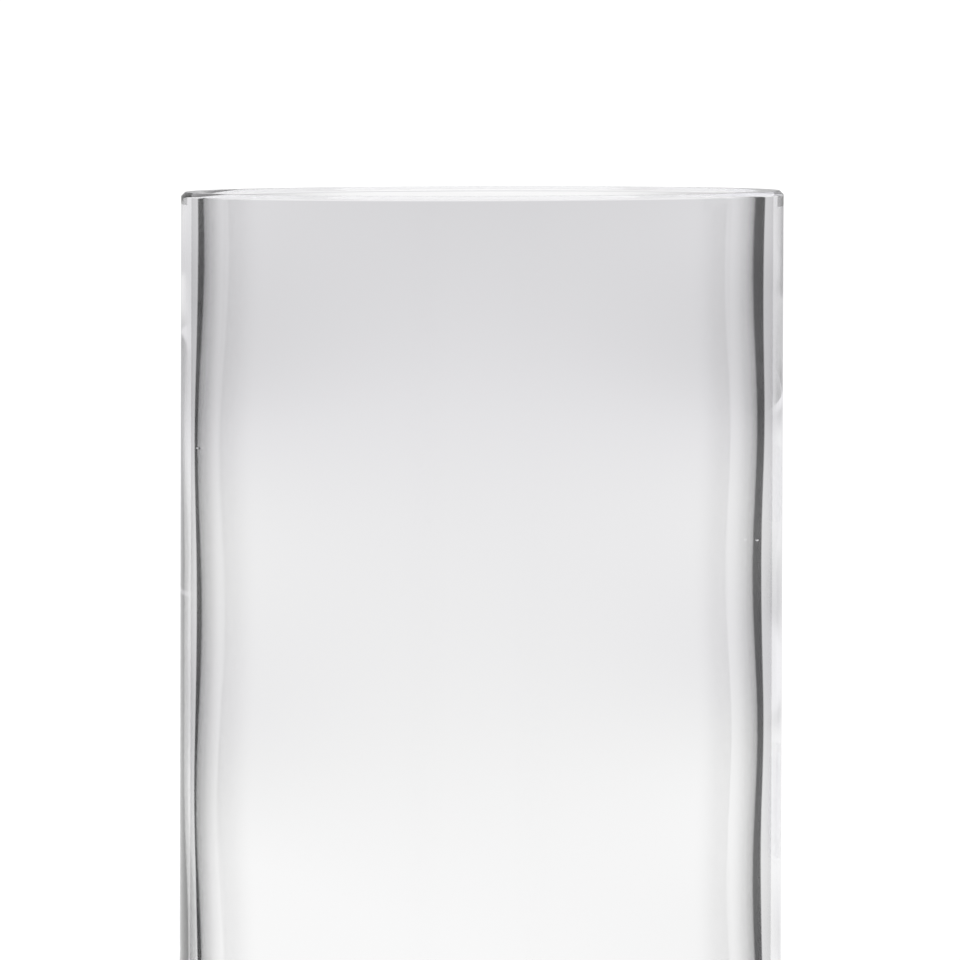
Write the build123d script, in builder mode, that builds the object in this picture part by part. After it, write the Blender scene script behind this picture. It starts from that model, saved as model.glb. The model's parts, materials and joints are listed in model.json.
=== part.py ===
# A clear glass cylinder vase of the kind florists use: one open-topped vessel of mould-blown glass
# with a straight wall, a flat ground rim and a thick foot.
#
# The glass is written as two solids that meet face to face where the rounded inside corner ends, so
# that the open wall and the thick foot each keep their own simple shape:
#   cylinder_wall   the straight tube, up to the ground rim
#   thick_base      the foot: the inside floor and its rounded corner, a rounded heel, the ground ring
#                   that the vase stands on and a shallow dished underside
#
# Frame: millimetres, +Z up, with the origin at the centre of the ring that the vase stands on.

import os

from build123d import *

# Driving dimensions
outer_diameter = 150.0          # straight outside of the wall
height = 300.0                  # table to ground rim
wall_thickness = 4.6
floor_height = 11.0             # table to the inside floor, on the axis
floor_corner_radius = 9.0       # inside corner between floor and wall
heel_radius = 5.0               # rounded outside corner at the foot
rim_bevel = 1.0                 # bevel ground on the outside and inside edges of the rim
resting_ring_width = 9.0        # flat ground ring that the vase stands on
punt_depth = 2.5                # height of the dished underside above the table, on the axis

# Worked out from them
outer_radius = outer_diameter / 2
inner_radius = outer_radius - wall_thickness
joint_level = floor_height + floor_corner_radius
corner_centre_radius = inner_radius - floor_corner_radius
ring_outer_radius = outer_radius - heel_radius
ring_inner_radius = ring_outer_radius - resting_ring_width


def make_cylinder_wall():
    """The straight tube from the top of the inside corner to the ground rim, bevelled on both edges."""
    with BuildPart() as cylinder_wall:
        with BuildSketch(Plane.XY.offset(joint_level)):
            Circle(outer_radius)
            Circle(inner_radius, mode=Mode.SUBTRACT)
        extrude(amount=height - joint_level)
        chamfer(cylinder_wall.faces().sort_by(Axis.Z)[-1].edges(), rim_bevel)
    cylinder_wall.part.label = "cylinder_wall"
    return cylinder_wall.part


def make_thick_base():
    """The foot, turned from its half section: inside floor and corner, heel, resting ring and dish."""
    corner_start = (corner_centre_radius, floor_height)
    corner_end = (inner_radius, joint_level)
    with BuildPart() as thick_base:
        with BuildSketch(Plane.XZ):
            with BuildLine():
                Line((0, floor_height), corner_start)
                RadiusArc(corner_start, corner_end, -floor_corner_radius)
                Line(corner_end, (outer_radius, joint_level))
                Line((outer_radius, joint_level), (outer_radius, heel_radius))
                RadiusArc((outer_radius, heel_radius), (ring_outer_radius, 0), heel_radius)
                Line((ring_outer_radius, 0), (ring_inner_radius, 0))
                TangentArc((0, punt_depth), (ring_inner_radius, 0), tangent=(1, 0))
                Line((0, punt_depth), (0, floor_height))
            make_face()
        revolve(axis=Axis.Z)
    thick_base.part.label = "thick_base"
    return thick_base.part


os.makedirs("parts", exist_ok=True)
for piece in (make_cylinder_wall(), make_thick_base()):
    export_step(piece, f"parts/{piece.label}.step")
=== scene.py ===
# A clear glass cylinder vase in a bright studio: one seamless blown vessel for both CAD solids.

import json
import math

import bmesh
import bpy
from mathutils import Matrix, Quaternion, Vector


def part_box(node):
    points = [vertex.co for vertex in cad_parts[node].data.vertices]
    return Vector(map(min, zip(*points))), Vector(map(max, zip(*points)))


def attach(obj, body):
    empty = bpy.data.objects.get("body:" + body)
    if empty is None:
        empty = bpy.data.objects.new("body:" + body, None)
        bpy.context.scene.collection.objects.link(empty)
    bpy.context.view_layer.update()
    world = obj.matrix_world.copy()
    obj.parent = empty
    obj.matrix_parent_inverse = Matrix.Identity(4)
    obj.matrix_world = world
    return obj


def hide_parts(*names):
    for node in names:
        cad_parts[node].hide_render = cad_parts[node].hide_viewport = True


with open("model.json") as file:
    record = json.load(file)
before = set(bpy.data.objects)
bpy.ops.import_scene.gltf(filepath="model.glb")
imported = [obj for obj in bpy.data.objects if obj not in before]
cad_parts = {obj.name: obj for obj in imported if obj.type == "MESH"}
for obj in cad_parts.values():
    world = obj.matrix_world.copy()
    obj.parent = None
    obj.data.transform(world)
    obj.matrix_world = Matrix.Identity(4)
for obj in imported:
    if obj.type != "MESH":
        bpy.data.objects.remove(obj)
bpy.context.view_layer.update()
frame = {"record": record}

MM = 0.001

# ---------------------------------------------------------------- sizes read from the frame
wall_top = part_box("cylinder_wall")[1]
base_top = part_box("thick_base")[1]
bore = next(m for m in frame["record"]["mounts"] if m["name"] == "inside_bore")

OUTER_R = wall_top.x
INNER_R = bore["dims"]["r_mm"] * MM
RIM_Z = wall_top.z
CORNER_TOP = base_top.z

# ---------------------------------------------------------------- details of the foot and the rim
FLOOR_Z = 11.0 * MM
FLOOR_SAG = 0.5 * MM
CORNER_R = CORNER_TOP - FLOOR_Z
HEEL_R = 5.0 * MM
RING_WIDTH = 9.0 * MM
RING_HOLD = 0.4 * MM        # how far from the ring's edges its flat is held flat
PUNT = 2.5 * MM
BEVEL = 1.0 * MM
EDGE = 0.05 * MM            # half width of the tiny round on each break of the rim
EDGE_HOLD = 0.3 * MM        # how far from a break the flat next to it is held flat
RIM_TILT = 0.40 * MM        # the rim was cut this much lower at -X and higher at +X, about its middle
RIM_MIDDLE = RIM_Z - RIM_TILT

# ---------------------------------------------------------------- how the blown inside wanders
# Lobes round the wall: depth in mm, direction in radians, turn in radians for each 100 mm of height.
DRIFT = -0.99
ONE_LOBE = (0.77, 4.25, -0.32)
TWO_LOBES = (-0.3, 4.59, -1.42)
THREE_LOBES = (0.09, 3.44, 0.98)
FOUR_LOBES = (0.13, 2.42, -0.56)
# Swells up the two sides: depth, length and the height of a crest, all in mm.
LEFT_SWELL = (0.48, 91.1, 237.2)
RIGHT_SWELL = (0.37, 76.5, 165.0)
SWELL_SPREAD = 3            # how quickly the swells fade towards the front and back
CORNER_SHARE = 0.25         # how much of the wander is left in the rounded corner
WANDER_RISE = 20 * MM       # above the corner, where the wander is whole again

# Air bubbles left in the wall: degrees from +X, height, length round the wall, thickness.
SEEDS = [
    (-160.5, 236.2 * MM, 1.6 * MM, 0.30 * MM),
    (-23.5, 214.0 * MM, 1.1 * MM, 0.24 * MM),
]

# ---------------------------------------------------------------- how finely the skin is divided
STEPS_ROUND = 384
STEPS_OUTSIDE = 60
STEPS_INSIDE = 90
STEPS_CORNER = 12
STEPS_HEEL = 10
STEPS_DISH = 12


def lobes(count, shape, angle, height):
    depth, direction, turn = shape
    return depth * math.cos(count * angle - direction - turn * height / 100)


def swell(shape, height):
    depth, length, crest = shape
    return depth * math.cos(2 * math.pi * (height - crest) / length)


def inner_wave(angle, z):
    """How far the blown inside surface stands out from its true cylinder, in metres."""
    height = z / MM
    leftness = (0.5 * (1 - math.cos(angle))) ** SWELL_SPREAD        # 1 at -X, 0 at +X
    rightness = (0.5 * (1 + math.cos(angle))) ** SWELL_SPREAD       # 1 at +X, 0 at -X
    total = DRIFT
    total += lobes(1, ONE_LOBE, angle, height)
    total += lobes(2, TWO_LOBES, angle, height)
    total += lobes(3, THREE_LOBES, angle, height)
    total += lobes(4, FOUR_LOBES, angle, height)
    total += swell(LEFT_SWELL, height) * leftness
    total += swell(RIGHT_SWELL, height) * rightness
    return total * MM


def eased(t):
    t = max(0.0, min(1.0, t))
    return t * t * (3 - 2 * t)


def inner_radius(a, z):
    """Radius of the inside surface: little of its wander in the corner and all of it above."""
    fade = eased((z - CORNER_TOP) / WANDER_RISE)
    return INNER_R + inner_wave(a, z) * (CORNER_SHARE + (1 - CORNER_SHARE) * fade)


def rim_height(a):
    """Height of the rim's flat face, cut on a very slight slant."""
    return RIM_Z - RIM_TILT * (1 - math.cos(a))


def rim_inner_radius(a):
    return inner_radius(a, rim_height(a) - BEVEL - EDGE)


def under_rows():
    """The dished underside, the resting ring and the heel, from near the axis outward."""
    rows = []
    ring_outer = OUTER_R - HEEL_R
    ring_inner = ring_outer - RING_WIDTH
    dish_radius = (ring_inner**2 + PUNT**2) / (2 * PUNT)
    for i in range(1, STEPS_DISH + 1):
        r = ring_inner * i / STEPS_DISH
        z = PUNT - (dish_radius - math.sqrt(dish_radius**2 - r**2))
        rows.append(lambda a, r=r, z=z: (r, z))
    rows.append(lambda a: (ring_inner + RING_HOLD, 0.0))
    rows.append(lambda a: (ring_outer - RING_HOLD, 0.0))
    for i in range(STEPS_HEEL + 1):
        turn = math.pi / 2 * i / STEPS_HEEL
        r = ring_outer + HEEL_R * math.sin(turn)
        z = HEEL_R - HEEL_R * math.cos(turn)
        rows.append(lambda a, r=r, z=z: (r, z))
    return rows


def outside_rows():
    """The straight outside, up to just under the rim's outer bevel."""
    rows = []
    low = HEEL_R + 0.5 * MM
    for i in range(STEPS_OUTSIDE + 1):

        def outside(a, t=i / STEPS_OUTSIDE):
            top = rim_height(a) - BEVEL - EDGE_HOLD
            return OUTER_R, low + (top - low) * t

        rows.append(outside)
    return rows


def rim_rows():
    """Outer bevel, flat ground face and inner bevel: each break has a tight row on both sides."""
    outer_break = OUTER_R - BEVEL
    return [
        lambda a: (OUTER_R, rim_height(a) - BEVEL - EDGE),
        lambda a: (OUTER_R - EDGE, rim_height(a) - BEVEL + EDGE),
        lambda a: (outer_break + EDGE, rim_height(a) - EDGE),
        lambda a: (outer_break - EDGE, rim_height(a)),
        lambda a: (outer_break - EDGE_HOLD, rim_height(a)),
        lambda a: (rim_inner_radius(a) + BEVEL + EDGE_HOLD, rim_height(a)),
        lambda a: (rim_inner_radius(a) + BEVEL + EDGE, rim_height(a)),
        lambda a: (rim_inner_radius(a) + BEVEL - EDGE, rim_height(a) - EDGE),
        lambda a: (rim_inner_radius(a) + EDGE, rim_height(a) - BEVEL + EDGE),
        lambda a: (rim_inner_radius(a), rim_height(a) - BEVEL - EDGE),
    ]


def inside_rows():
    """The blown inside from the rim down, the rounded corner and the floor."""
    rows = []
    for i in range(STEPS_INSIDE + 1):

        def inside(a, t=i / STEPS_INSIDE):
            top = rim_height(a) - BEVEL - EDGE_HOLD
            z = top + (CORNER_TOP - top) * t
            return inner_radius(a, z), z

        rows.append(inside)
    for i in range(1, STEPS_CORNER + 1):

        def corner(a, turn=math.pi / 2 * i / STEPS_CORNER):
            r = inner_radius(a, CORNER_TOP) - CORNER_R * (1 - math.cos(turn))
            return r, CORNER_TOP - CORNER_R * math.sin(turn)

        rows.append(corner)
    for i in range(STEPS_CORNER - 1, 0, -1):

        def floor(a, share=i / STEPS_CORNER):
            r = (inner_radius(a, CORNER_TOP) - CORNER_R) * share
            return r, FLOOR_Z - FLOOR_SAG * (1 - share**2)

        rows.append(floor)
    return rows


def add_seed(bm, turn, height, length, thickness):
    """An air bubble drawn out round the wall, in the middle of it: a cavity whose skin faces inward."""
    a = math.radians(turn)
    out = Vector((math.cos(a), math.sin(a), 0))
    side = Vector((-out.y, out.x, 0))
    centre = out * (OUTER_R + INNER_R) / 2 + Vector((0, 0, height))
    made = bmesh.ops.create_icosphere(bm, subdivisions=3, radius=1.0)
    for v in made["verts"]:
        p = v.co.copy()
        v.co = centre + side * p.x * length + out * p.y * thickness * 0.5
        v.co.z += p.z * thickness
    faces = {f for v in made["verts"] for f in v.link_faces}
    bmesh.ops.reverse_faces(bm, faces=list(faces))


def new_object(name, bm):
    mesh = bpy.data.meshes.new(name)
    bm.to_mesh(mesh)
    bm.free()
    obj = bpy.data.objects.new(name, mesh)
    bpy.context.collection.objects.link(obj)
    return obj


def make_vessel():
    bm = bmesh.new()
    rows = []
    for row in under_rows() + outside_rows() + rim_rows() + inside_rows():
        made = []
        for i in range(STEPS_ROUND):
            a = 2 * math.pi * i / STEPS_ROUND
            r, z = row(a)
            made.append(bm.verts.new((r * math.cos(a), r * math.sin(a), z)))
        rows.append(made)
    for low, high in zip(rows, rows[1:]):
        for i in range(STEPS_ROUND):
            j = (i + 1) % STEPS_ROUND
            bm.faces.new((low[i], low[j], high[j], high[i]))
    under = bm.verts.new((0, 0, PUNT))
    floor = bm.verts.new((0, 0, FLOOR_Z - FLOOR_SAG))
    for i in range(STEPS_ROUND):
        j = (i + 1) % STEPS_ROUND
        bm.faces.new((under, rows[0][j], rows[0][i]))
        bm.faces.new((floor, rows[-1][i], rows[-1][j]))
    for seed in SEEDS:
        add_seed(bm, *seed)
    for f in bm.faces:
        f.smooth = True
    return new_object("vase_glass", bm)


class Nodes:
    """Small helper that builds chains of nodes."""

    def __init__(self, block):
        self.block = block
        self.block.use_nodes = True
        self.tree = self.block.node_tree
        self.tree.nodes.clear()

    def make(self, kind, **settings):
        node = self.tree.nodes.new(kind)
        for key, value in settings.items():
            setattr(node, key, value)
        return node

    def link(self, output, socket):
        self.tree.links.new(output, socket)

    def math(self, operation, *values):
        node = self.make("ShaderNodeMath", operation=operation)
        for socket, value in zip(node.inputs, values):
            if hasattr(value, "is_output"):
                self.link(value, socket)
            else:
                socket.default_value = value
        return node.outputs[0]

    def ramp(self, value, low, high, to_low, to_high, kind="SMOOTHSTEP"):
        node = self.make("ShaderNodeMapRange", interpolation_type=kind)
        self.link(value, node.inputs["Value"])
        node.inputs["From Min"].default_value = low
        node.inputs["From Max"].default_value = high
        node.inputs["To Min"].default_value = to_low
        node.inputs["To Max"].default_value = to_high
        return node.outputs["Result"]

    def place(self):
        """Object coordinates, whole and split."""
        whole = self.make("ShaderNodeTexCoord").outputs["Object"]
        split = self.make("ShaderNodeSeparateXYZ")
        self.link(whole, split.inputs[0])
        return whole, split.outputs[0], split.outputs[1], split.outputs[2]

    def noise(self, vector, scale, detail=2.0):
        node = self.make("ShaderNodeTexNoise")
        self.link(vector, node.inputs["Vector"])
        node.inputs["Scale"].default_value = scale
        node.inputs["Detail"].default_value = detail
        return node.outputs[0]

    def degrees_from_back(self, x, y):
        """How far round from +Y a point lies, either way, in degrees."""
        return self.math("ABSOLUTE", self.math("MULTIPLY", self.math("ARCTAN2", x, y), 180 / math.pi))

    def mix(self, factor, colour_a, colour_b):
        node = self.make("ShaderNodeMix", data_type="RGBA")
        self.link(factor, node.inputs["Factor"])
        node.inputs["A"].default_value = (*colour_a, 1)
        node.inputs["B"].default_value = (*colour_b, 1)
        return node.outputs["Result"]

    def finish(self, output, socket="Surface"):
        out = self.make("ShaderNodeOutputMaterial")
        self.link(output, out.inputs[socket])
        return out


# ---------------------------------------------------------------- glass
MARKS_ACROSS = 9000.0       # grinding marks for each metre across the rim
MARKS_ROUND = 18.0          # and for each radian along it
GROUND_ROUGHNESS = (0.03, 0.12)
FILM_SCALE = 16.0           # patches of handling film for each metre
FILM_ROUGHNESS = 0.015
RIPPLE_SCALE = 55.0         # waves of draw ripple for each metre
RIPPLE_STRETCH = (1.0, 1.0, 0.35)
GROOVE_SHARE = 0.2          # relief of the grinding marks, as a share of the ripple's
RELIEF = 0.003 * MM
GLASS_IOR = 1.5
GLASS_TINT = (0.95, 0.95, 0.98, 1)
GLASS_DENSITY = 4.0         # absorption for each metre


def material_nodes(name):
    return Nodes(bpy.data.materials.new(name))


def glass_material():
    """Clear soda-lime glass: a trace of film and draw ripple on the walls, a finely ground rim."""
    n = material_nodes("clear_glass")
    whole, x, y, z = n.place()
    # 1 on the ground rim and its bevels, 0 below, following the slant of the cut
    height = n.math("SUBTRACT", z, n.math("MULTIPLY", x, RIM_TILT / OUTER_R))
    foot = RIM_MIDDLE - BEVEL
    rim = n.ramp(height, foot - EDGE, foot + EDGE, 0.0, 1.0)
    # fine marks of the grinding belt, drawn out along the rim
    radius = n.math("SQRT", n.math("ADD", n.math("MULTIPLY", x, x), n.math("MULTIPLY", y, y)))
    along = n.make("ShaderNodeCombineXYZ")
    n.link(n.math("MULTIPLY", radius, MARKS_ACROSS), along.inputs[0])
    n.link(n.math("MULTIPLY", n.math("ARCTAN2", x, y), MARKS_ROUND), along.inputs[1])
    n.link(n.math("MULTIPLY", z, MARKS_ACROSS), along.inputs[2])
    marks = n.noise(along.outputs[0], 1.0, 3.0)
    film = n.ramp(n.noise(whole, FILM_SCALE, 4.0), 0.5, 0.75, 0.0, FILM_ROUGHNESS)
    ground = n.math("MULTIPLY", n.ramp(marks, 0.3, 0.7, *GROUND_ROUGHNESS), rim)
    # draw ripple on the walls, grinding marks on the rim
    stretched = n.make("ShaderNodeMapping")
    n.link(whole, stretched.inputs["Vector"])
    stretched.inputs["Scale"].default_value = RIPPLE_STRETCH
    ripple = n.noise(stretched.outputs[0], RIPPLE_SCALE, 1.0)
    grooves = n.math("MULTIPLY", n.math("MULTIPLY", marks, rim), GROOVE_SHARE)
    bump = n.make("ShaderNodeBump")
    bump.inputs["Strength"].default_value = 1.0
    bump.inputs["Distance"].default_value = RELIEF
    n.link(n.math("ADD", ripple, grooves), bump.inputs["Height"])
    shader = n.make("ShaderNodeBsdfPrincipled")
    shader.inputs["Base Color"].default_value = (1, 1, 1, 1)
    shader.inputs["IOR"].default_value = GLASS_IOR
    shader.inputs["Transmission Weight"].default_value = 1.0
    n.link(n.math("ADD", film, ground), shader.inputs["Roughness"])
    n.link(bump.outputs[0], shader.inputs["Normal"])
    volume = n.make("ShaderNodeVolumeAbsorption")
    volume.inputs["Color"].default_value = GLASS_TINT
    volume.inputs["Density"].default_value = GLASS_DENSITY
    out = n.finish(shader.outputs["BSDF"])
    n.link(volume.outputs["Volume"], out.inputs["Volume"])
    return n.block


vessel = make_vessel()
vessel.data.materials.append(glass_material())
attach(vessel, "root")
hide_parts("cylinder_wall", "thick_base")

# ---------------------------------------------------------------- camera
CAMERA_AWAY = 3.5
CAMERA_RISE = math.radians(0.98)            # above the rim's plane
CAMERA_ASIDE = -0.4 * MM
AIM_BELOW_RIM = 72.0 * MM
CAMERA_ROLL = math.radians(0.16)            # as a hand-levelled tripod leaves it
VIEW_WIDTH = 2 * OUTER_R * 1.5947           # what the frame spans at the vase
SENSOR = 36


def make_camera():
    data = bpy.data.cameras.new("camera")
    camera = bpy.data.objects.new("camera", data)
    bpy.context.collection.objects.link(camera)
    eye = Vector((CAMERA_ASIDE, -CAMERA_AWAY, RIM_MIDDLE + CAMERA_AWAY * math.tan(CAMERA_RISE)))
    aim = Vector((CAMERA_ASIDE, 0, RIM_MIDDLE - AIM_BELOW_RIM))
    look = aim - eye
    camera.location = eye
    camera.rotation_mode = "QUATERNION"
    camera.rotation_quaternion = look.to_track_quat("-Z", "Y") @ Quaternion((0, 0, 1), CAMERA_ROLL)
    data.sensor_width = SENSOR
    data.lens = SENSOR * look.length / VIEW_WIDTH
    data.clip_end = 30
    bpy.context.scene.camera = camera


# ---------------------------------------------------------------- studio
ROOM_R = 1.1
ROOM_H = 1.6
ROOM_FOOT = -0.01
ROOM_STEPS = 180
ALL_ROUND = 180                 # degrees either way from +Y
SOFTBOX_R = 0.8
SOFTBOX_GLOW = 2.0
TABLE_Z = -0.1 * MM             # just clear of the resting ring
TABLE_TONE = 0.81
TABLE_MOTTLE = 0.03
TABLE_GRAIN = 90.0              # mottles for each metre
AIR_SEEN = 1.1                  # the world's light as the camera sees it
AIR_FELT = 0.5                  # and as everything else does
# How bright the lit cloth is: from one height to another, in metres, from one level to another.
CLOTH_GRADE = (0.03, 0.30, 0.945, 0.70)
CLOTH_DIP = (0.20, 0.28, 0.0, -0.045)
CLOTH_LIFT = (0.33, 0.45, 0.0, 0.30)
CLOTH_COOL = (0.08, 0.24, 0.0, 1.0)
CLOTH_WHITE = (1.0, 1.0, 1.0)
CLOTH_TINT = (0.988, 0.982, 1.004)
FLAG_IN = (34.2, 36.0)          # degrees from +Y over which the dark flags begin
FLAG_OUT = (46.0, 70.0)         # and over which they fade out
FLAG_TOP = (0.32, 0.40)         # heights over which they end, in metres
SKIRT_R = 0.75                  # the lit cloth runs in over the table to here
SKIRT_Z = 0.5 * MM
STRIP_R = 0.2
STRIP_HIGH = 0.05
STRIP_SWING = 46                # degrees from +Y, either way
STRIP_STEPS = 48
STRIP_CORE = (8.0, 32.0)        # degrees from +Y over which it dims
STRIP_GLOW = (0.97, 0.34)       # from this level to that
STRIP_END = (36.0, 44.0)        # and over which it is masked
STRIP_MASK = 0.1                # down to this share
# The strip's lower edge lies on a sight line over the near rim, less what the wall bends that line.
WALL_BEND = 1.9 * MM
STRIP_LOW = RIM_MIDDLE - (STRIP_R + OUTER_R) * math.tan(CAMERA_RISE) - WALL_BEND


def flag_share(n, x, y):
    a = n.degrees_from_back(x, y)
    return n.math("MULTIPLY", n.ramp(a, *FLAG_IN, 0.0, 1.0), n.ramp(a, *FLAG_OUT, 1.0, 0.0))


def surround_material():
    """Lit cloth all round the table, grey above and white towards the table, with two dark flags."""
    n = material_nodes("studio_surround")
    _, x, y, z = n.place()
    level = n.ramp(z, *CLOTH_GRADE, "LINEAR")
    level = n.math("ADD", level, n.ramp(z, *CLOTH_DIP))
    level = n.math("ADD", level, n.ramp(z, *CLOTH_LIFT))
    dark = n.math("MULTIPLY", flag_share(n, x, y), n.ramp(z, *FLAG_TOP, 1.0, 0.0))
    level = n.math("MULTIPLY", level, n.math("SUBTRACT", 1.0, dark))
    glow = n.make("ShaderNodeEmission")
    n.link(level, glow.inputs["Strength"])
    cool = n.ramp(z, *CLOTH_COOL)
    n.link(n.mix(cool, CLOTH_WHITE, CLOTH_TINT), glow.inputs["Color"])
    n.finish(glow.outputs[0])
    return n.block


def add_skirt(material):
    """The foot of the lit cloth, laid over the far table: only the glass sees it."""
    bm = bmesh.new()
    turns = [2 * math.pi * i / ROOM_STEPS for i in range(ROOM_STEPS)]
    inner = [bm.verts.new((SKIRT_R * math.sin(t), SKIRT_R * math.cos(t), SKIRT_Z)) for t in turns]
    outer = [bm.verts.new((ROOM_R * math.sin(t), ROOM_R * math.cos(t), SKIRT_Z)) for t in turns]
    for i in range(ROOM_STEPS):
        j = (i + 1) % ROOM_STEPS
        bm.faces.new((inner[i], inner[j], outer[j], outer[i]))
    obj = new_object("surround_skirt", bm)
    obj.data.materials.append(material)
    obj.visible_camera = False
    obj.visible_diffuse = False
    obj.visible_shadow = False


def add_band(name, radius, low, high, swing, steps, material):
    """An upright band about the axis, swing degrees either way from +Y, hidden from the camera."""
    bm = bmesh.new()
    turns = [math.radians(-swing + 2 * swing * i / steps) for i in range(steps + 1)]
    bottom = [bm.verts.new((radius * math.sin(t), radius * math.cos(t), low)) for t in turns]
    top = [bm.verts.new((v.co.x, v.co.y, high)) for v in bottom]
    for i in range(steps):
        bm.faces.new((bottom[i], bottom[i + 1], top[i + 1], top[i]))
    obj = new_object(name, bm)
    obj.data.materials.append(material)
    obj.visible_camera = False


def strip_material():
    """A low strip light behind the mouth, brightest in the middle."""
    n = material_nodes("rim_strip")
    _, x, y, _ = n.place()
    glow = n.make("ShaderNodeEmission")
    a = n.degrees_from_back(x, y)
    core = n.ramp(a, *STRIP_CORE, *STRIP_GLOW)
    level = n.math("MULTIPLY", core, n.ramp(a, *STRIP_END, 1.0, STRIP_MASK))
    n.link(level, glow.inputs["Strength"])
    n.finish(glow.outputs[0])
    return n.block


def floor_material():
    """Pale matt table top, faintly mottled."""
    n = material_nodes("studio_floor")
    whole = n.place()[0]
    mottle = n.math("MULTIPLY", n.noise(whole, TABLE_GRAIN, 6.0), TABLE_MOTTLE)
    tone = n.math("ADD", mottle, TABLE_TONE)
    shader = n.make("ShaderNodeBsdfPrincipled")
    n.link(tone, shader.inputs["Base Color"])
    shader.inputs["Roughness"].default_value = 0.9
    shader.inputs["Specular IOR Level"].default_value = 0.1
    n.finish(shader.outputs["BSDF"])
    return n.block


def add_disc(name, radius, height, material, seen):
    bm = bmesh.new()
    bmesh.ops.create_circle(bm, cap_ends=True, segments=128, radius=radius)
    obj = new_object(name, bm)
    obj.location.z = height
    obj.data.materials.append(material)
    obj.visible_camera = seen


def softbox_material():
    n = material_nodes("overhead_softbox")
    glow = n.make("ShaderNodeEmission")
    glow.inputs["Strength"].default_value = SOFTBOX_GLOW
    n.finish(glow.outputs[0])
    return n.block


def make_world():
    """White to the camera, softer to everything else."""
    world = bpy.data.worlds.new("studio_air")
    n = Nodes(world)
    path = n.make("ShaderNodeLightPath")
    back = n.make("ShaderNodeBackground")
    back.inputs["Color"].default_value = (1, 1, 1, 1)
    level = n.ramp(path.outputs["Is Camera Ray"], 0.0, 1.0, AIR_FELT, AIR_SEEN)
    n.link(level, back.inputs["Strength"])
    out = n.make("ShaderNodeOutputWorld")
    n.link(back.outputs[0], out.inputs["Surface"])
    bpy.context.scene.world = world


cloth = surround_material()
add_band("studio_surround", ROOM_R, ROOM_FOOT, ROOM_H, ALL_ROUND, ROOM_STEPS, cloth)
add_skirt(cloth)
strip = strip_material()
add_band("rim_strip", STRIP_R, STRIP_LOW, STRIP_LOW + STRIP_HIGH, STRIP_SWING, STRIP_STEPS, strip)
add_disc("studio_floor", ROOM_R, TABLE_Z, floor_material(), True)
add_disc("overhead_softbox", SOFTBOX_R, ROOM_H, softbox_material(), False)
make_world()
make_camera()
bpy.context.scene.view_settings.view_transform = "Standard"
# Light trapped in the wall bounces many times before it leaves.
BOUNCES = 48
bpy.context.scene.cycles.max_bounces = BOUNCES
bpy.context.scene.cycles.glossy_bounces = BOUNCES
bpy.context.scene.cycles.transmission_bounces = BOUNCES
